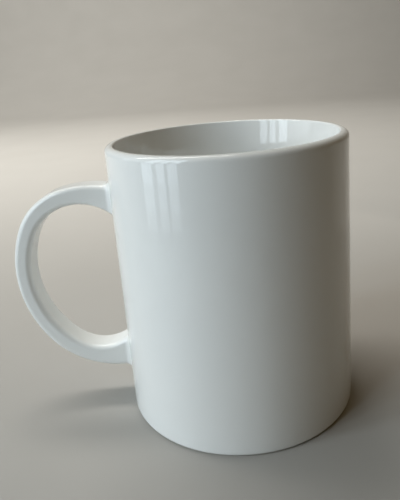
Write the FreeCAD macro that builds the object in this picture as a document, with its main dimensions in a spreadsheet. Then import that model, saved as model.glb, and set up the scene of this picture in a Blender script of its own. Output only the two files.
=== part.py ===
import FreeCAD
import Part
import Sketcher
import math
import os

# A straight-sided glazed ceramic mug with one strap handle.
# Millimetres. +Z is up, the origin is on the cup's axis where the foot meets the table,
# and the handle points towards -X.

DIMENSIONS = {
    "outer_radius": 41.0,        # outside of the glazed wall
    "height": 96.0,              # table to the top of the lip
    "lip_thickness": 2.8,        # glazed wall at the lip
    "lip_outer_round": 2.0,      # rounds on the two edges of the lip
    "lip_inner_round": 0.6,
    "wall_thickness": 5.0,       # glazed wall below the lip, where its thinning starts
    "thinning_height": 12.0,     # the wall thins from this far below the lip's top
    "thinning_round": 40.0,      # where the thinning starts, the inside wall bends this gently
    "base_wall_thickness": 5.2,  # glazed wall just above the floor
    "floor_height": 7.0,         # table to the inside floor
    "floor_corner_radius": 9.0,  # round between inside wall and floor
    "base_corner_radius": 1.5,   # round between outside wall and foot
    "recess_radius": 35.0,       # hollow under the cup, at its ceiling
    "recess_depth": 1.2,         # table to that ceiling
    "recess_lean": 1.0,          # the hollow is about this much wider where it meets the table
    "glaze_thickness": 0.3,
    "glaze_line": 0.5,           # the glaze stops this far above the table
    "handle_width": 10.0,
    "handle_edge_radius": 2.0,   # rounds along the strap's four long edges
    "strap_end_reach": 38.0,     # the strap's side outline is closed here, inside the wall
    # outside curve of the strap, seen from the side: radius and centre of each arc,
    # measured out from the axis, from the upper root round to the lower one
    "outside_shoulder_radius": 39.3,
    "outside_shoulder_reach": 49.8,
    "outside_upper_radius": 23.9,
    "outside_upper_reach": 53.3,
    "outside_main_radius": 41.9,
    "outside_main_reach": 36.9,
    "outside_main_height": 50.7,
    "outside_lower_radius": 32.5,
    "outside_lower_reach": 44.5,
    # inside curve of the strap, around the finger gap
    "inside_upper_radius": 18.0,
    "inside_upper_reach": 53.3,
    "inside_main_radius": 33.9,
    "inside_main_reach": 39.0,
    "inside_main_height": 50.8,
    "inside_lower_radius": 15.2,
    "inside_lower_reach": 50.8,
    "root_fillet": 2.6,          # fillet between strap and wall
    "slip_thickness": 0.4,       # layer of slip that sticks the strap to the wall
    "root_patch_radius": 11.5,   # the handle's glaze ends on a circle this large around each root
    "root_patch_depth": 38.6,    # the patches reach in to here, short of the inside wall
    "upper_patch_height": 77.0,
    "lower_patch_height": 19.6,
}

WIDE = 200.0                     # larger than the mug, for cutting tools
ON_PLANE = 0.01                  # tolerance when picking edges
NEAR_ZERO = 1e-9                 # a coordinate smaller than this lies on an axis
EDGE_SAMPLES = 5                 # points looked at along an edge, to tell where it lies
NOTHING = "0 * dims.height"      # a length of zero, as a formula

doc = FreeCAD.newDocument("mug")


# ---------------------------------------------------------------- driving dimensions

def make_sheet():
    """One row per dimension: its name, and its value under that alias."""
    sheet = doc.addObject("Spreadsheet::Sheet", "dims")
    for row, (name, value) in enumerate(DIMENSIONS.items(), start=1):
        sheet.set(f"A{row}", name)
        sheet.set(f"B{row}", str(value))
        sheet.setAlias(f"B{row}", name)
    doc.recompute()
    return sheet


dims = make_sheet()


# ---------------------------------------------------------------- small helpers

def bind(item, **formulas):
    """Bind properties to sheet formulas."""
    for prop, formula in formulas.items():
        item.setExpression(prop, formula)


def value_of(formula):
    """The number that a sheet formula gives now."""
    return float(dims.evalExpression(formula))


def origin_plane(body, role):
    for item in body.Origin.OriginFeatures:
        if item.Role == role:
            return item
    raise ValueError(f"no origin feature {role}")


def new_body(name):
    body = doc.addObject("PartDesign::Body", name)
    body.Label = name
    return body


def new_sketch(body, name, role):
    sketch = body.newObject("Sketcher::SketchObject", name)
    sketch.AttachmentSupport = [(origin_plane(body, role), "")]
    sketch.MapMode = "FlatFace"
    return sketch


def hold(sketch, kind, geometry, end, formula):
    """Hold one coordinate of a point: kind is DistanceX or DistanceY, measured from the origin."""
    size = value_of(formula)
    if abs(size) < NEAR_ZERO:
        axis = -2 if kind == "DistanceX" else -1
        sketch.addConstraint(Sketcher.Constraint("PointOnObject", geometry, end, axis))
    elif size > 0:
        index = sketch.addConstraint(Sketcher.Constraint(kind, -1, 1, geometry, end, size))
        sketch.setExpression(f"Constraints[{index}]", formula)
    else:
        index = sketch.addConstraint(Sketcher.Constraint(kind, geometry, end, -1, 1, -size))
        sketch.setExpression(f"Constraints[{index}]", f"-({formula})")


def polygon_sketch(body, name, corners):
    """A closed outline on the XZ plane with straight sides; corners are pairs of formulas."""
    sketch = new_sketch(body, name, "XZ_Plane")
    points = [FreeCAD.Vector(value_of(x), value_of(z), 0) for x, z in corners]
    count = len(points)
    for i in range(count):
        sketch.addGeometry(Part.LineSegment(points[i], points[(i + 1) % count]), False)
    for i in range(count):
        sketch.addConstraint(Sketcher.Constraint("Coincident", i, 2, (i + 1) % count, 1))
    for i, (x, z) in enumerate(corners):
        hold(sketch, "DistanceX", i, 1, x)
        hold(sketch, "DistanceY", i, 1, z)
    return sketch


def turn(body, kind, name, sketch):
    """A full turn of an outline about the cup's axis: Revolution adds, Groove cuts."""
    feature = body.newObject(f"PartDesign::{kind}", name)
    feature.Profile = (sketch, [""])
    feature.ReferenceAxis = (sketch, ["V_Axis"])
    feature.Angle = 360.0
    sketch.Visibility = False
    return feature


def round_edges(body, name, radius, wanted):
    """Fillet those edges of the body's last feature for which wanted(edge) is true."""
    doc.recompute()
    base = body.Tip
    chosen = [f"Edge{i}" for i, edge in enumerate(base.Shape.Edges, start=1) if wanted(edge)]
    fillet = body.newObject("PartDesign::Fillet", name)
    fillet.Base = (base, chosen)
    bind(fillet, Radius=radius)
    doc.recompute()
    return fillet


def circle_edge(radius, height):
    """A test for the full-circle edge of this radius at this height."""
    def wanted(edge):
        box = edge.BoundBox
        level = abs(box.ZMin - height) < ON_PLANE and abs(box.ZMax - height) < ON_PLANE
        return level and abs(box.XMax - radius) < ON_PLANE and abs(box.YMax - radius) < ON_PLANE
    return wanted


def root_edge(wall_radius):
    """A test for the edges where the strap meets the round wall."""
    def wanted(edge):
        points = edge.discretize(EDGE_SAMPLES)
        on_wall = all(abs(math.hypot(p.x, p.y) - wall_radius) < ON_PLANE for p in points)
        return on_wall and edge.BoundBox.XMax < 0
    return wanted


# ---------------------------------------------------------------- the strap

def arc_chain(side, arcs, main, growth):
    """Centre, radius, start and end angle of each tangent arc of one side curve, towards -X.

    The main arc's centre is given; each neighbour touches the arc before it from inside or
    outside, and its own distance from the axis settles its height. Growth is a formula such as
    "+ dims.glaze_thickness" that every radius is changed by.
    """
    radii = [value_of(f"dims.{side}_{name}_radius {growth}") for name in arcs]
    across = [-value_of(f"dims.{side}_{name}_reach") for name in arcs]
    heights = [0.0] * len(arcs)
    middle = arcs.index(main)
    heights[middle] = value_of(f"dims.{side}_{main}_height")
    for step, order in ((-1, range(middle - 1, -1, -1)), (1, range(middle + 1, len(arcs)))):
        for i in order:
            known = i - step
            gap = radii[known] - radii[i]
            rise = math.sqrt(gap ** 2 - (across[known] - across[i]) ** 2)
            heights[i] = heights[known] - step * math.copysign(rise, gap)
    centres = [FreeCAD.Vector(x, z, 0) for x, z in zip(across, heights)]
    end_x = -value_of("dims.strap_end_reach")
    angles = [math.pi - math.acos((centres[0].x - end_x) / radii[0])]
    for i in range(len(arcs) - 1):
        toward = centres[i + 1].sub(centres[i]) * math.copysign(1, radii[i] - radii[i + 1])
        angles.append(math.atan2(toward.y, toward.x) % (2 * math.pi))
    angles.append(math.pi + math.acos((centres[-1].x - end_x) / radii[-1]))
    return centres, radii, angles


def add_chain(sketch, side, arcs, main, growth):
    """Draw one side curve into the sketch, tangent from arc to arc, and bind it to the sheet."""
    centres, radii, angles = arc_chain(side, arcs, main, growth)
    first = sketch.GeometryCount
    up = FreeCAD.Vector(0, 0, 1)
    for i, name in enumerate(arcs):
        circle = Part.Circle(centres[i], up, radii[i])
        sketch.addGeometry(Part.ArcOfCircle(circle, angles[i], angles[i + 1]), False)
        if i > 0:
            sketch.addConstraint(Sketcher.Constraint("Tangent", first + i - 1, 2, first + i, 1))
        index = sketch.addConstraint(Sketcher.Constraint("Radius", first + i, radii[i]))
        sketch.setExpression(f"Constraints[{index}]", f"dims.{side}_{name}_radius {growth}")
        hold(sketch, "DistanceX", first + i, 3, f"-dims.{side}_{name}_reach")
        if name == main:
            hold(sketch, "DistanceY", first + i, 3, f"dims.{side}_{name}_height")
    last = sketch.GeometryCount - 1
    hold(sketch, "DistanceX", first, 1, "-dims.strap_end_reach")
    hold(sketch, "DistanceX", last, 2, "-dims.strap_end_reach")
    return first, last


def join_ends(sketch, from_arc, from_end, to_arc, to_end):
    """A straight line inside the wall between the ends of the two side curves."""
    ends = [sketch.getPoint(from_arc, from_end), sketch.getPoint(to_arc, to_end)]
    line = sketch.GeometryCount
    sketch.addGeometry(Part.LineSegment(*ends), False)
    sketch.addConstraint(Sketcher.Constraint("Coincident", line, 1, from_arc, from_end))
    sketch.addConstraint(Sketcher.Constraint("Coincident", line, 2, to_arc, to_end))


def long_edge(half_width):
    """A test for the strap's long edges: curved, and wholly in one of its two flat sides."""
    def wanted(edge):
        box = edge.BoundBox
        flat = abs(box.YMin - box.YMax) < ON_PLANE and abs(abs(box.YMin) - half_width) < ON_PLANE
        return flat and isinstance(edge.Curve, Part.Circle)
    return wanted


def add_strap(body, inset):
    """The strap: its side outline, padded both ways to its width, with its long edges rounded."""
    sketch = new_sketch(body, body.Name + "_strap_outline", "XZ_Plane")
    outside = add_chain(sketch, "outside", ("shoulder", "upper", "main", "lower"), "main", f"- {inset}")
    inside = add_chain(sketch, "inside", ("upper", "main", "lower"), "main", f"+ {inset}")
    join_ends(sketch, outside[0], 1, inside[0], 1)
    join_ends(sketch, outside[1], 2, inside[1], 2)
    doc.recompute()
    strap = body.newObject("PartDesign::Pad", body.Name + "_strap")
    strap.Profile = (sketch, [""])
    strap.SideType = "Symmetric"
    width = f"dims.handle_width - 2 * {inset}"
    bind(strap, Length=width)
    sketch.Visibility = False
    long_edges = long_edge(value_of(width) / 2)
    round_edges(body, body.Name + "_strap_edges", f"dims.handle_edge_radius - {inset}", long_edges)


# ---------------------------------------------------------------- whole forms, glazed and bare

def cavity_corners(inset):
    """Inside of the cup, drawn past the lip."""
    inner_lip = f"dims.outer_radius - dims.lip_thickness + {inset}"
    inner_wall = f"dims.outer_radius - dims.wall_thickness + {inset}"
    inner_base = f"dims.outer_radius - dims.base_wall_thickness + {inset}"
    floor = f"dims.floor_height - {inset}"
    return [
        (NOTHING, floor),
        (inner_base, floor),
        (inner_wall, "dims.height - dims.thinning_height"),
        (inner_lip, f"dims.height - {inset}"),
        (inner_lip, "dims.height + dims.lip_thickness"),
        (NOTHING, "dims.height + dims.lip_thickness"),
    ]


def mug_form(name, inset, with_strap):
    """The mug as one solid whose surface lies inset below the glazed surface."""
    body = new_body(name)
    if with_strap:
        add_strap(body, inset)
    radius = f"dims.outer_radius - {inset}"
    top = f"dims.height - {inset}"
    outside = [
        (NOTHING, inset),
        (radius, inset),
        (radius, top),
        (NOTHING, top),
    ]
    turn(body, "Revolution", name + "_outside", polygon_sketch(body, name + "_outside_outline", outside))
    doc.recompute()
    if with_strap:
        roots = root_edge(value_of(radius))
        round_edges(body, name + "_root_fillet", f"dims.root_fillet + {inset}", roots)
    cavity = polygon_sketch(body, name + "_cavity_outline", cavity_corners(inset))
    turn(body, "Groove", name + "_cavity", cavity)
    recess = [
        (NOTHING, "-dims.recess_depth"),
        ("dims.recess_radius + 2 * dims.recess_lean", "-dims.recess_depth"),
        ("dims.recess_radius", f"dims.recess_depth + {inset}"),
        (NOTHING, f"dims.recess_depth + {inset}"),
    ]
    turn(body, "Groove", name + "_recess", polygon_sketch(body, name + "_recess_outline", recess))
    doc.recompute()
    inner_lip = value_of(f"dims.outer_radius - dims.lip_thickness + {inset}")
    outer_edge = circle_edge(value_of(radius), value_of(top))
    round_edges(body, name + "_lip_outside", f"dims.lip_outer_round - {inset}", outer_edge)
    inner_edge = circle_edge(inner_lip, value_of(top))
    round_edges(body, name + "_lip_inside", f"dims.lip_inner_round - {inset}", inner_edge)
    inner_wall = value_of(f"dims.outer_radius - dims.wall_thickness + {inset}")
    thinning_edge = circle_edge(inner_wall, value_of("dims.height - dims.thinning_height"))
    round_edges(body, name + "_thinning", "dims.thinning_round", thinning_edge)
    inner_base = value_of(f"dims.outer_radius - dims.base_wall_thickness + {inset}")
    floor_edge = circle_edge(inner_base, value_of(f"dims.floor_height - {inset}"))
    round_edges(body, name + "_floor", f"dims.floor_corner_radius + {inset}", floor_edge)
    base_edge = circle_edge(value_of(radius), value_of(inset))
    round_edges(body, name + "_base", f"dims.base_corner_radius - {inset}", base_edge)
    return body


# ---------------------------------------------------------------- combining forms

def combine(kind, name, base, tool):
    """A Part boolean of two objects: Cut, Common or Fuse."""
    item = doc.addObject(f"Part::{kind}", name)
    item.Base = base
    item.Tool = tool
    item.Label = name
    doc.recompute()
    return item


def cylinder(name, radius, tall, low=NOTHING):
    item = doc.addObject("Part::Cylinder", name)
    bind(item, Radius=radius, Height=tall)
    item.setExpression("Placement.Base.z", low)
    return item


def root_patch(name, height):
    """A rod along X through one root, as wide as the patch of wall that goes with the strap."""
    item = doc.addObject("Part::Cylinder", name)
    bind(item, Radius="dims.root_patch_radius", Height="2 * dims.outer_radius")
    to_minus_x = FreeCAD.Rotation(FreeCAD.Vector(0, 1, 0), -90)
    item.Placement = FreeCAD.Placement(FreeCAD.Vector(0, 0, 0), to_minus_x)
    item.setExpression("Placement.Base.x", "-dims.root_patch_depth")
    item.setExpression("Placement.Base.z", height)
    return item


def block_about_axis(name):
    """A wide cube that stands on the table."""
    item = doc.addObject("Part::Box", name)
    item.Length = WIDE
    item.Width = WIDE
    item.Height = WIDE
    item.Placement.Base = FreeCAD.Vector(-WIDE / 2, -WIDE / 2, 0)
    return item


def make_parts():
    """Every sub-part, keyed by the name of its file."""
    bare = "dims.glaze_thickness"
    glazed_form = mug_form("glazed_form", NOTHING, True)
    bare_form = mug_form("bare_form", bare, True)
    bare_cup = mug_form("bare_cup", bare, False)

    foot_slab = cylinder("foot_slab", "dims.outer_radius + dims.height", "dims.glaze_line")
    bare_foot = combine("Common", "bare_foot", glazed_form, foot_slab)
    parts = {"cup_body": combine("Fuse", "cup_body", bare_cup, bare_foot)}

    strap = new_body("bare_strap")
    add_strap(strap, bare)
    wall_gap = "dims.outer_radius - dims.glaze_thickness + dims.slip_thickness"
    cope = cylinder("cope", wall_gap, "dims.height")
    parts["handle"] = combine("Cut", "handle", strap, cope)

    patches = {}
    for end in ("upper", "lower"):
        patches[end] = root_patch(f"{end}_patch", f"dims.{end}_patch_height")
        root = combine("Common", f"{end}_root", bare_form, patches[end])
        beside_cup = combine("Cut", f"{end}_root_beside_cup", root, bare_cup)
        slip_name = f"{end}_slip_joint"
        parts[slip_name] = combine("Cut", slip_name, beside_cup, parts["handle"])

    bare_mug = combine("Fuse", "bare_mug", bare_form, bare_foot)
    glaze = combine("Cut", "glaze", glazed_form, bare_mug)
    under_cup = cylinder("under_cup", "dims.recess_radius + 2 * dims.recess_lean",
                         "(dims.recess_depth + dims.floor_height) / 2")
    parts["base_glaze"] = combine("Common", "base_glaze", glaze, under_cup)

    around_cup = block_about_axis("around_cup")
    wall_zone = cylinder("wall_zone", "dims.outer_radius + dims.glaze_thickness", "3 * dims.height",
                         "-dims.height")
    beyond_wall = combine("Cut", "beyond_wall", around_cup, wall_zone)
    both_patches = combine("Fuse", "both_patches", patches["upper"], patches["lower"])
    strap_zone = combine("Fuse", "strap_zone", beyond_wall, both_patches)
    coat = combine("Cut", "coat", glaze, under_cup)
    parts["handle_glaze"] = combine("Common", "handle_glaze", coat, strap_zone)
    parts["cup_glaze"] = combine("Cut", "cup_glaze", coat, strap_zone)
    return parts


def check_document(parts):
    """Stop unless every object is sound and every sub-part is a valid shape."""
    for item in doc.Objects:
        if "Invalid" in item.State or "Error" in item.State:
            raise RuntimeError(f"{item.Name} is {item.State}")
    for name, item in parts.items():
        shape = item.Shape
        if shape.isNull() or not shape.isValid() or not shape.Solids:
            raise RuntimeError(f"{name} has no valid solid")
        box = shape.BoundBox
        print(f"{name}: {len(shape.Solids)} solid(s), {shape.Volume:.1f} mm3,"
              f" x {box.XMin:.2f}..{box.XMax:.2f}, y {box.YMin:.2f}..{box.YMax:.2f},"
              f" z {box.ZMin:.2f}..{box.ZMax:.2f}")


sub_parts = make_parts()
check_document(sub_parts)
os.makedirs("parts", exist_ok=True)
for part_name, part_object in sub_parts.items():
    part_object.Shape.exportStep(f"parts/{part_name}.step")
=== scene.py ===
"""A white glazed ceramic mug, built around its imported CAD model.

Everything is in metres, in the CAD model's own frame: the cup stands on Z = 0 about the Z axis,
and its handle points towards -X.
"""

import math

import bpy
import numpy as np
from mathutils import Matrix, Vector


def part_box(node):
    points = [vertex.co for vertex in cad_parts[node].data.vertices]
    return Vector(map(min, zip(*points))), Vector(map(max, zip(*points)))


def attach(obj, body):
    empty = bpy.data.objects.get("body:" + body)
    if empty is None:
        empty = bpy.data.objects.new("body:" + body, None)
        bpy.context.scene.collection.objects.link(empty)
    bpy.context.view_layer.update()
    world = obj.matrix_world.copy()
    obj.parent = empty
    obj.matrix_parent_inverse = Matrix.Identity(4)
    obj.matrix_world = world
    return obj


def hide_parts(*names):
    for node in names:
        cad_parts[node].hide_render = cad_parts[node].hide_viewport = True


MM = 0.001

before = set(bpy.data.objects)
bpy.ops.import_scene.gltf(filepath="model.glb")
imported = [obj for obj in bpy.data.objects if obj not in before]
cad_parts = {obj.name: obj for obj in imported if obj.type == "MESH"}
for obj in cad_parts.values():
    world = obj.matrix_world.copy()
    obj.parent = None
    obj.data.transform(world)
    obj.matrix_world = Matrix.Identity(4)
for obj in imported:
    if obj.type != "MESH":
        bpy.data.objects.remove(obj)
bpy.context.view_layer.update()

# ---------------------------------------------------------------- sizes, as in the CAD model

glaze_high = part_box("cup_glaze")[1]
WALL_RADIUS = glaze_high.x
HEIGHT = glaze_high.z
GLAZE = 0.3 * MM
GLAZE_LINE = 0.5 * MM           # the glaze stops this far above the table
LIP = 2.8 * MM
LIP_OUTER_ROUND = 2.0 * MM
LIP_INNER_ROUND = 0.6 * MM
WALL_THICKNESS = 5.0 * MM       # below the lip, where the wall starts to thin towards it
THINNING_HEIGHT = 12.0 * MM
THINNING_ROUND = 40.0 * MM
BASE_WALL = 5.2 * MM
FLOOR_HEIGHT = 7.0 * MM
FLOOR_CORNER = 9.0 * MM
BASE_CORNER = 1.5 * MM
FOOT_INNER = 35.0 * MM
RECESS_DEPTH = 1.2 * MM
RECESS_SLOPE = 1.0 * MM         # how much wider the hollow gets towards the table
RECESS_CORNER = 0.4 * MM        # round in the glaze along the edge of the hollow's ceiling

STRAP_WIDTH = 10.0 * MM
STRAP_EDGE = 2.0 * MM           # rounds along the strap's four long edges
ROOT_FILLET = 2.6 * MM
STRAP_END = 38.0 * MM           # the side curves start and end this far from the axis, inside the wall
# Arcs of the strap's two side curves from the upper root round to the lower one: radius, and
# distance of the centre from the axis. The main arc's centre height settles the others'.
OUTSIDE_ARCS = [(39.3, 49.8), (23.9, 53.3), (41.9, 36.9), (32.5, 44.5)]
OUTSIDE_MAIN = (2, 50.7)        # index of the main arc, height of its centre
INSIDE_ARCS = [(18.0, 53.3), (33.9, 39.0), (15.2, 50.8)]
INSIDE_MAIN = (1, 50.8)

# ---------------------------------------------------------------- how finely the meshes are divided

AROUND = 288                    # steps around the cup
PER_ROUND = 20                  # steps along each rounded corner
PER_RECESS_ROUND = 6
LONGEST_STRETCH = 3.0 * MM      # longest edge along the cup's outline
STRAP_ROWS = 601                # rows along the strap before it is cut off at the wall
STRAP_KEPT_ROWS = 181           # rows along the strap between its two fillets
FILLET_STEPS = 16
STRAP_CORNER_STEPS = 16
STRAP_FLAT_STEPS = 8
BEND_STEPS = 16                 # steps where the floor curves up

CREASE_ANGLE = math.radians(50)
ON_AXIS = 1e-7                  # a radius smaller than this lies on the axis


# ---------------------------------------------------------------- mesh helpers

def mesh_object(name, points, faces, material):
    """A smooth-shaded object; edges sharper than the crease angle stay crisp."""
    mesh = bpy.data.meshes.new(name)
    mesh.from_pydata([tuple(p) for p in points], [], faces)
    mesh.validate()
    mesh.update()
    mesh.shade_smooth()
    mesh.set_sharp_from_angle(angle=CREASE_ANGLE)
    mesh.materials.append(material)
    piece = bpy.data.objects.new(name, mesh)
    bpy.context.scene.collection.objects.link(piece)
    return piece


def rounded(corners, steps=PER_ROUND):
    """An open outline through (x, z, radius) corners, each rounded by its radius."""
    points = []
    for i, (x, z, radius) in enumerate(corners):
        here = np.array((x, z))
        if radius <= 0 or i in (0, len(corners) - 1):
            points.append(here)
            continue
        before = np.array(corners[i - 1][:2]) - here
        after = np.array(corners[i + 1][:2]) - here
        before /= np.linalg.norm(before)
        after /= np.linalg.norm(after)
        half = math.acos(np.clip(before @ after, -1, 1)) / 2
        middle = (before + after) / np.linalg.norm(before + after)
        centre = here + middle * radius / math.sin(half)
        start = here + before * radius / math.tan(half) - centre
        end = here + after * radius / math.tan(half) - centre
        sweep = math.pi - 2 * half
        for k in range(steps + 1):
            part = k / steps
            weights = (math.sin((1 - part) * sweep), math.sin(part * sweep))
            points.append(centre + (start * weights[0] + end * weights[1]) / math.sin(sweep))
    return points


def subdivided(points, longest):
    """The same outline with its long straight stretches divided."""
    result = [points[0]]
    for a, b in zip(points, points[1:]):
        count = max(1, math.ceil(np.linalg.norm(b - a) / longest))
        result += [a + (b - a) * k / count for k in range(1, count + 1)]
    return result


def turned(name, outline, material):
    """A closed outline of (radius, height) points turned about the Z axis."""
    points = []
    rings = []
    for radius, height in outline:
        if radius < ON_AXIS:
            rings.append([len(points)] * AROUND)
            points.append((0.0, 0.0, height))
            continue
        rings.append(list(range(len(points), len(points) + AROUND)))
        for k in range(AROUND):
            angle = 2 * math.pi * k / AROUND
            points.append((radius * math.cos(angle), radius * math.sin(angle), height))
    faces = []
    for lower, upper in zip(rings, rings[1:] + rings[:1]):
        for k in range(AROUND):
            n = (k + 1) % AROUND
            corners = [lower[k], lower[n], upper[n], upper[k]]
            distinct = list(dict.fromkeys(corners))
            if len(distinct) > 2:
                faces.append(distinct)
    return mesh_object(name, points, faces, material)


# ---------------------------------------------------------------- the cup's glaze

def cup_surface(inset):
    """The cup's outline from the glaze line, up, over the lip and down to the middle of the floor."""
    wall = WALL_RADIUS - inset
    top = HEIGHT - inset
    corner = BASE_CORNER - inset
    inner_base = WALL_RADIUS - BASE_WALL + inset
    inner_lip = WALL_RADIUS - LIP + inset
    inner_wall = WALL_RADIUS - WALL_THICKNESS + inset
    floor = FLOOR_HEIGHT - inset
    outline = rounded([
        (0.0, inset, 0.0),
        (wall, inset, corner),
        (wall, top, LIP_OUTER_ROUND - inset),
        (inner_lip, top, LIP_INNER_ROUND - inset),
        (inner_wall, HEIGHT - THINNING_HEIGHT, THINNING_ROUND),
        (inner_base, floor, FLOOR_CORNER + inset),
        (0.0, floor, 0.0),
    ])
    above = [p for p in outline if p[1] > GLAZE_LINE]
    drop = corner + inset - GLAZE_LINE
    start = np.array((wall - corner + math.sqrt(corner ** 2 - drop ** 2), GLAZE_LINE))
    return subdivided([start] + above, LONGEST_STRETCH)


def make_cup_glaze(material):
    """The glaze over the outside, lip and inside, as a closed coat."""
    outer = cup_surface(0.0)
    inner = cup_surface(GLAZE)
    return turned("cup_glaze_coat", outer + inner[::-1], material)


def make_base_glaze(material):
    """The glaze in the hollow under the cup."""
    def hollow(inset):
        ceiling = RECESS_DEPTH + inset
        slope = RECESS_SLOPE / (2 * RECESS_DEPTH + inset)
        line_radius = FOOT_INNER + slope * (ceiling - GLAZE_LINE)
        corners = [(0.0, ceiling, 0.0), (FOOT_INNER, ceiling, RECESS_CORNER), (line_radius, GLAZE_LINE, 0.0)]
        return rounded(corners, PER_RECESS_ROUND)

    return turned("base_glaze_coat", hollow(0.0) + hollow(GLAZE)[::-1], material)


# ---------------------------------------------------------------- the handle's glaze

def side_curve(arcs, main):
    """A function from 0..1 to the (x, z) point that far along a chain of tangent arcs, in metres."""
    radii = [radius * MM for radius, _ in arcs]
    across = [-reach * MM for _, reach in arcs]
    middle = main[0]
    heights = [main[1] * MM] * len(arcs)
    for step, order in ((-1, range(middle - 1, -1, -1)), (1, range(middle + 1, len(arcs)))):
        for i in order:
            gap = radii[i - step] - radii[i]
            rise = math.sqrt(gap ** 2 - (across[i - step] - across[i]) ** 2)
            heights[i] = heights[i - step] - step * math.copysign(rise, gap)
    angles = [math.pi - math.acos((across[0] + STRAP_END) / radii[0])]
    for i in range(len(arcs) - 1):
        sign = math.copysign(1, radii[i] - radii[i + 1])
        rise, run = sign * (heights[i + 1] - heights[i]), sign * (across[i + 1] - across[i])
        angles.append(math.atan2(rise, run) % (2 * math.pi))
    angles.append(math.pi + math.acos((across[-1] + STRAP_END) / radii[-1]))
    lengths = [radius * (stop - start) for radius, start, stop in zip(radii, angles, angles[1:])]
    joints = np.concatenate([[0.0], np.cumsum(lengths)])

    def place(part):
        distance = part * joints[-1]
        i = min(int(np.searchsorted(joints, distance, side="right")) - 1, len(arcs) - 1)
        angle = angles[i] + (distance - joints[i]) / radii[i]
        return np.array((across[i] + radii[i] * math.cos(angle), heights[i] + radii[i] * math.sin(angle)))
    return place


def strap_section(half_thickness):
    """Outline of the strap's section, a rounded rectangle: (towards the outside curve, sideways)."""
    turns = np.linspace(0, math.pi / 2, STRAP_CORNER_STEPS + 1)
    outline = []
    for quarter, (toward, aside) in enumerate(((1, 1), (-1, 1), (-1, -1), (1, -1))):
        centre = np.array((toward * (half_thickness - STRAP_EDGE), aside * (STRAP_WIDTH / 2 - STRAP_EDGE)))
        angles = turns + quarter * math.pi / 2
        arc = centre + STRAP_EDGE * np.stack([np.cos(angles), np.sin(angles)], axis=1)
        if outline:
            outline.extend(np.linspace(outline[-1], arc[0], STRAP_FLAT_STEPS + 1)[1:-1])
        outline.extend(arc)
    outline.extend(np.linspace(outline[-1], outline[0], STRAP_FLAT_STEPS + 1)[1:-1])
    return np.array(outline)


def strap_grid(rows):
    """Points and outward normals of the strap's surface: columns round it, rows along it."""
    outside = side_curve(OUTSIDE_ARCS, OUTSIDE_MAIN)
    inside = side_curve(INSIDE_ARCS, INSIDE_MAIN)
    sections = []
    for row in range(rows):
        top, bottom = outside(row / (rows - 1)), inside(row / (rows - 1))
        half_thickness = np.linalg.norm(top - bottom) / 2
        toward = (top - bottom) / (2 * half_thickness)
        outline = strap_section(half_thickness)
        side_view = (top + bottom) / 2 + outline[:, :1] * toward
        sections.append(np.stack([side_view[:, 0], outline[:, 1], side_view[:, 1]], axis=1))
    points = np.stack(sections, axis=1)
    along = np.gradient(points, axis=1)
    around = (np.roll(points, -1, axis=0) - np.roll(points, 1, axis=0)) / 2
    normals = np.cross(along, around)
    normals /= np.linalg.norm(normals, axis=2, keepdims=True)
    if ((points - points.mean(axis=0)) * normals).sum() < 0:
        normals = -normals
    return points, normals


def fillet_rows(point, normal, steps):
    """Points and normals round the root fillet, from the wall up to the strap."""
    ball = point + ROOT_FILLET * normal
    at_wall = np.array((ball[0], ball[1], 0.0))
    at_wall /= np.linalg.norm(at_wall)
    turn = math.acos(np.clip(normal @ at_wall, -1, 1))
    parts = np.arange(steps)[:, None] / steps
    normals = (at_wall * np.sin((1 - parts) * turn) + normal * np.sin(parts * turn)) / math.sin(turn)
    return ball - ROOT_FILLET * normals, normals


def handle_surface():
    """The glazed handle: each line along the strap ends where a ball rolled round the root touches it."""
    points, normals = strap_grid(STRAP_ROWS)
    places = np.arange(STRAP_ROWS, dtype=float)
    lines = []
    for line, directions in zip(points, normals):
        balls = line + ROOT_FILLET * directions
        clear = np.hypot(balls[:, 0], balls[:, 1]) - (WALL_RADIUS + ROOT_FILLET)
        first = np.argmax(clear > 0)
        last = STRAP_ROWS - 1 - np.argmax(clear[::-1] > 0)
        start = first - clear[first] / (clear[first] - clear[first - 1])
        stop = last + clear[last] / (clear[last] - clear[last + 1])
        at = np.linspace(start, stop, STRAP_KEPT_ROWS)
        strap = np.stack([np.interp(at, places, line[:, axis]) for axis in range(3)], axis=1)
        facing = np.stack([np.interp(at, places, directions[:, axis]) for axis in range(3)], axis=1)
        facing /= np.linalg.norm(facing, axis=1, keepdims=True)
        upper, upper_facing = fillet_rows(strap[0], facing[0], FILLET_STEPS)
        lower, lower_facing = fillet_rows(strap[-1], facing[-1], FILLET_STEPS)
        lines.append((
            np.concatenate([upper, strap, lower[::-1]]),
            np.concatenate([upper_facing, facing, lower_facing[::-1]]),
        ))
    return np.array([line for line, _ in lines]), np.array([facing for _, facing in lines])


def make_handle_glaze(material):
    """The glaze over the strap and its two roots, as a closed coat."""
    outside, normals = handle_surface()
    inside = outside - GLAZE * normals
    columns, rows = outside.shape[:2]
    points = np.concatenate([outside.reshape(-1, 3), inside.reshape(-1, 3)])

    def index(layer, column, row):
        return (layer * columns + column % columns) * rows + row

    faces = []
    for c in range(columns):
        for r in range(rows - 1):
            outer = [index(0, c, r), index(0, c + 1, r), index(0, c + 1, r + 1), index(0, c, r + 1)]
            faces.append(outer)
            faces.append([i + columns * rows for i in reversed(outer)])
        for r, order in ((0, 1), (rows - 1, -1)):
            rim = [index(0, c, r), index(1, c, r), index(1, c + 1, r), index(0, c + 1, r)]
            faces.append(rim[::order])
    return mesh_object("handle_glaze_coat", points, faces, material)


# ---------------------------------------------------------------- materials

def new_material(name):
    """A node material, with the parts of it that the looks below fill in."""
    material = bpy.data.materials.new(name)
    material.use_nodes = True
    nodes = material.node_tree.nodes
    shader = nodes["Principled BSDF"]
    return material, nodes, material.node_tree.links, shader


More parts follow.
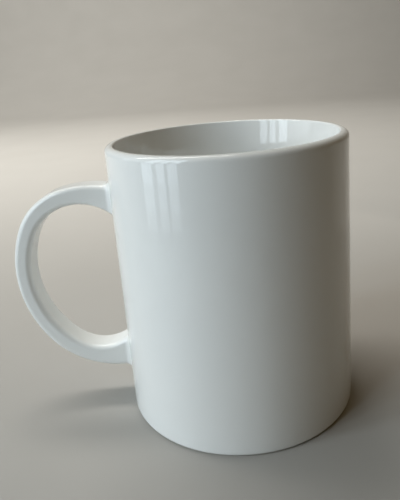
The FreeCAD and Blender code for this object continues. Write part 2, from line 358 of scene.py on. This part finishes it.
def noise(nodes, links, coordinates, scale, detail, roughness=0.5):
    """A noise from 0 to 1; the larger the scale, the finer the noise."""
    node = nodes.new("ShaderNodeTexNoise")
    node.inputs["Scale"].default_value = scale
    node.inputs["Detail"].default_value = detail
    node.inputs["Roughness"].default_value = roughness
    links.new(coordinates, node.inputs["Vector"])
    return node.outputs["Fac"]


def remap(nodes, links, value, before, after):
    """The value moved from the range before to the range after, and held inside it."""
    node = nodes.new("ShaderNodeMapRange")
    links.new(value, node.inputs["Value"])
    for socket, number in zip(("From Min", "From Max", "To Min", "To Max"), (*before, *after)):
        node.inputs[socket].default_value = number
    return node.outputs["Result"]


def mix_colour(nodes, links, factor, first, second):
    """A mix of two colours, each given as numbers or as a socket; factor is a socket."""
    node = nodes.new("ShaderNodeMix")
    node.data_type = "RGBA"
    links.new(factor, node.inputs["Factor"])
    for socket, colour in (("A", first), ("B", second)):
        target = next(s for s in node.inputs if s.name == socket and s.type == "RGBA")
        if isinstance(colour, tuple):
            target.default_value = (*colour, 1.0)
        else:
            links.new(colour, target)
    return next(s for s in node.outputs if s.type == "RGBA")


def bump(nodes, links, height, distance, normal=None):
    """Normals disturbed by a height, which is this deep at its full range."""
    node = nodes.new("ShaderNodeBump")
    node.inputs["Strength"].default_value = 1.0
    node.inputs["Distance"].default_value = distance
    links.new(height, node.inputs["Height"])
    if normal is not None:
        links.new(normal, node.inputs["Normal"])
    return node.outputs["Normal"]


def glaze_material():
    """Clear gloss glaze over a white body."""
    material, nodes, links, shader = new_material("white_glaze")
    place = nodes.new("ShaderNodeTexCoord").outputs["Object"]
    drift = noise(nodes, links, place, scale=35.0, detail=2.0)
    colour = mix_colour(nodes, links, drift, (0.80, 0.81, 0.795), (0.835, 0.84, 0.82))
    links.new(colour, shader.inputs["Base Color"])
    smear = noise(nodes, links, place, scale=160.0, detail=4.0, roughness=0.6)
    gloss = remap(nodes, links, smear, before=(0.3, 0.7), after=(0.025, 0.055))
    links.new(gloss, shader.inputs["Roughness"])
    shader.inputs["IOR"].default_value = 1.52
    slow = noise(nodes, links, place, scale=70.0, detail=1.0)
    peel = noise(nodes, links, place, scale=420.0, detail=1.0)
    waves = bump(nodes, links, slow, distance=0.06 * MM)
    links.new(bump(nodes, links, peel, distance=0.006 * MM, normal=waves), shader.inputs["Normal"])
    return material


def clay_material(name, light, dark):
    """Bare fired clay: matt, finely grained, with a few darker specks."""
    material, nodes, links, shader = new_material(name)
    place = nodes.new("ShaderNodeTexCoord").outputs["Object"]
    blotch = noise(nodes, links, place, scale=180.0, detail=4.0)
    colour = mix_colour(nodes, links, blotch, dark, light)
    specks = noise(nodes, links, place, scale=2600.0, detail=1.0)
    speck = remap(nodes, links, specks, before=(0.70, 0.76), after=(0.0, 0.5))
    links.new(mix_colour(nodes, links, speck, colour, (0.42, 0.36, 0.29)), shader.inputs["Base Color"])
    grain = noise(nodes, links, place, scale=3500.0, detail=3.0, roughness=0.6)
    matt = remap(nodes, links, grain, before=(0.3, 0.7), after=(0.75, 0.95))
    links.new(matt, shader.inputs["Roughness"])
    links.new(bump(nodes, links, grain, distance=0.05 * MM), shader.inputs["Normal"])
    return material


def floor_material():
    """A plain pale studio floor."""
    material, nodes, links, shader = new_material("studio_floor")
    place = nodes.new("ShaderNodeTexCoord").outputs["Object"]
    tone = noise(nodes, links, place, scale=12.0, detail=3.0)
    colour = mix_colour(nodes, links, tone, (0.40, 0.385, 0.36), (0.44, 0.425, 0.40))
    links.new(colour, shader.inputs["Base Color"])
    shader.inputs["Roughness"].default_value = 0.55
    return material


# ---------------------------------------------------------------- pieces

def dress():
    """Materials on every CAD node, and finer coats of glaze in place of the CAD ones."""
    glaze = glaze_material()
    clay = clay_material("fired_clay", (0.74, 0.70, 0.63), (0.66, 0.62, 0.55))
    slip = clay_material("fired_slip", (0.76, 0.73, 0.67), (0.70, 0.66, 0.60))
    looks = {
        "cup_body": clay,
        "handle": clay,
        "upper_slip_joint": slip,
        "lower_slip_joint": slip,
        "cup_glaze": glaze,
        "handle_glaze": glaze,
        "base_glaze": glaze,
    }
    for name, material in looks.items():
        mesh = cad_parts[name].data
        mesh.materials.clear()
        mesh.materials.append(material)
    coats = {
        "cup_glaze": make_cup_glaze(glaze),
        "handle_glaze": make_handle_glaze(glaze),
        "base_glaze": make_base_glaze(glaze),
    }
    for node, coat in coats.items():
        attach(coat, "root")
        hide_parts(node)


# ---------------------------------------------------------------- stage, light and camera

VIEW_DISTANCE = 0.1792          # from the cup's axis to the camera, along the floor
VIEW_HEIGHT = 0.1207
VIEW_PITCH = math.radians(15.07)
VIEW_YAW = math.radians(1.6)
VIEW_ROLL = math.radians(-4.35)
LENS = 37.87                    # focal length and sensor width, in the usual millimetres
SENSOR_WIDTH = 36.0
SHIFT = (-0.0318, -0.0967)
NEAREST_SEEN, FARTHEST_SEEN = 0.01, 20.0


def make_camera():
    """The camera in front of the mug, looking slightly down, turned and tilted as the view says."""
    data = bpy.data.cameras.new("camera")
    data.sensor_width = SENSOR_WIDTH
    data.lens = LENS
    data.shift_x, data.shift_y = SHIFT
    data.clip_start = NEAREST_SEEN
    data.clip_end = FARTHEST_SEEN
    camera = bpy.data.objects.new("camera", data)
    stand = Matrix.Translation((0.0, -VIEW_DISTANCE, VIEW_HEIGHT))
    look = Matrix.Rotation(VIEW_YAW, 4, "Z") @ Matrix.Rotation(math.pi / 2 - VIEW_PITCH, 4, "X")
    camera.matrix_world = stand @ look @ Matrix.Rotation(VIEW_ROLL, 4, "Z")
    bpy.context.scene.collection.objects.link(camera)
    bpy.context.scene.camera = camera


def make_floor():
    """A flat floor that curves up far behind into a plain backdrop."""
    half, back, bend, tall = 3.0, 1.2, 0.8, 2.5
    outline = [(-half, 0.0), (back, 0.0)]
    for k in range(1, BEND_STEPS + 1):
        angle = math.pi / 2 * k / BEND_STEPS
        outline.append((back + bend * math.sin(angle), bend * (1 - math.cos(angle))))
    outline.append((back + bend, tall))
    points = [(x, y, z) for y, z in outline for x in (-half, half)]
    faces = [(2 * k, 2 * k + 1, 2 * k + 3, 2 * k + 2) for k in range(len(outline) - 1)]
    mesh_object("studio_floor", points, faces, floor_material())


def area_light(name, place, size, radiance, colour):
    """A rectangular light at this placement, shining along its -Z; its power follows from its radiance."""
    data = bpy.data.lights.new(name, "AREA")
    data.shape = "RECTANGLE"
    data.size, data.size_y = size
    data.energy = radiance * math.pi * size[0] * size[1]
    data.color = colour
    lamp = bpy.data.objects.new(name, data)
    lamp.matrix_world = place
    lamp.visible_camera = False
    bpy.context.scene.collection.objects.link(lamp)


def softbox(name, azimuth, elevation, distance, size, radiance, colour):
    """A light aimed at the mug; azimuth 0 is at the viewer, 90 to the viewer's right."""
    around = Matrix.Rotation(math.radians(azimuth), 4, "Z")
    tipped = Matrix.Rotation(math.radians(90 - elevation), 4, "X")
    middle = Matrix.Translation((0.0, 0.0, HEIGHT / 2))
    place = middle @ around @ tipped @ Matrix.Translation((0.0, 0.0, distance))
    area_light(name, place, size, radiance, colour)


# The window: three upright panes side by side to the viewer's left, given by their azimuths. They
# stand twice. The near ones are low, for the streaks that the outer wall mirrors, and the far ones
# are tall, for the light on the mug and for the window mirrored inside the lip.
PANES = {"left": (-75.5, -65.0), "middle": (-60.5, -53.0), "right": (-50.0, -41.5)}
# Each window's distance from the cup's axis, its foot, and its tiers: top of the tier and radiance.
WINDOWS = [
    ("near", 0.25, 0.005, [(0.02, 0.8), (0.04, 1.6), (0.07, 2.6)]),
    ("far", 1.50, 0.02, [(0.72, 3.9), (1.68, 7.2)]),
]
WINDOW_COLOUR = (0.78, 0.91, 1.0)

BACKDROP_LIGHT_PLACE = (-0.45, 0.30, 0.90)
BACKDROP_LIGHT_TILT = math.radians(58)
FILL_COLOUR = (1.0, 0.61, 0.14)
FILL_STRENGTH = 0.06
BACKDROP_COLOUR = (0.40, 0.385, 0.36)


def upright_light(name, azimuth, distance, low, high, width, radiance, colour):
    """A light that stands upright and faces the cup's axis."""
    turned_to = Matrix.Rotation(math.radians(azimuth), 4, "Z") @ Matrix.Rotation(math.pi / 2, 4, "X")
    middle = Matrix.Translation((0.0, 0.0, (low + high) / 2))
    place = middle @ turned_to @ Matrix.Translation((0.0, 0.0, distance))
    area_light(name, place, (width, high - low), radiance, colour)


def make_window():
    """Every pane of both windows, one light for each of its tiers."""
    for name, (start, stop) in PANES.items():
        azimuth = (start + stop) / 2
        for place, distance, low, tiers in WINDOWS:
            width = 2 * distance * math.tan(math.radians(stop - start) / 2)
            for tier, (high, radiance) in enumerate(tiers):
                pane = f"{name}_{place}_pane_{tier}"
                upright_light(pane, azimuth, distance, low, high, width, radiance, WINDOW_COLOUR)
                low = high


def make_lamps():
    """The window, the sky beside it, a warm ceiling, a pale wall behind and the backdrop's light."""
    make_window()
    softbox("sky", azimuth=-82.0, elevation=14.0, distance=2.2, size=(2.0, 1.0),
            radiance=1.1, colour=(0.84, 0.94, 1.0))
    softbox("ceiling", azimuth=-20.0, elevation=85.0, distance=1.5, size=(1.4, 1.4),
            radiance=0.18, colour=(1.0, 0.88, 0.66))
    upright_light("wall_glow", azimuth=130.0, distance=0.21, low=0.0, high=0.26, width=0.24,
                  radiance=0.08, colour=(1.0, 0.93, 0.80))
    behind = Matrix.Translation(BACKDROP_LIGHT_PLACE) @ Matrix.Rotation(BACKDROP_LIGHT_TILT, 4, "X")
    area_light("backdrop_light", behind, size=(1.0, 0.6), radiance=12.0, colour=(1.0, 0.98, 0.93))


def make_world():
    """A dim warm fill from all round; the camera itself sees a plain backdrop there instead."""
    world = bpy.data.worlds.new("studio")
    world.use_nodes = True
    nodes, links = world.node_tree.nodes, world.node_tree.links
    fill = nodes["Background"]
    fill.inputs["Color"].default_value = (*FILL_COLOUR, 1.0)
    fill.inputs["Strength"].default_value = FILL_STRENGTH
    backdrop = nodes.new("ShaderNodeBackground")
    backdrop.inputs["Color"].default_value = (*BACKDROP_COLOUR, 1.0)
    seen_directly = nodes.new("ShaderNodeLightPath").outputs["Is Camera Ray"]
    mix = nodes.new("ShaderNodeMixShader")
    links.new(seen_directly, mix.inputs["Fac"])
    links.new(fill.outputs[0], mix.inputs[1])
    links.new(backdrop.outputs[0], mix.inputs[2])
    links.new(mix.outputs[0], nodes["World Output"].inputs["Surface"])
    bpy.context.scene.world = world
    bpy.context.scene.view_settings.view_transform = "Standard"


dress()
make_floor()
make_camera()
make_lamps()
make_world()
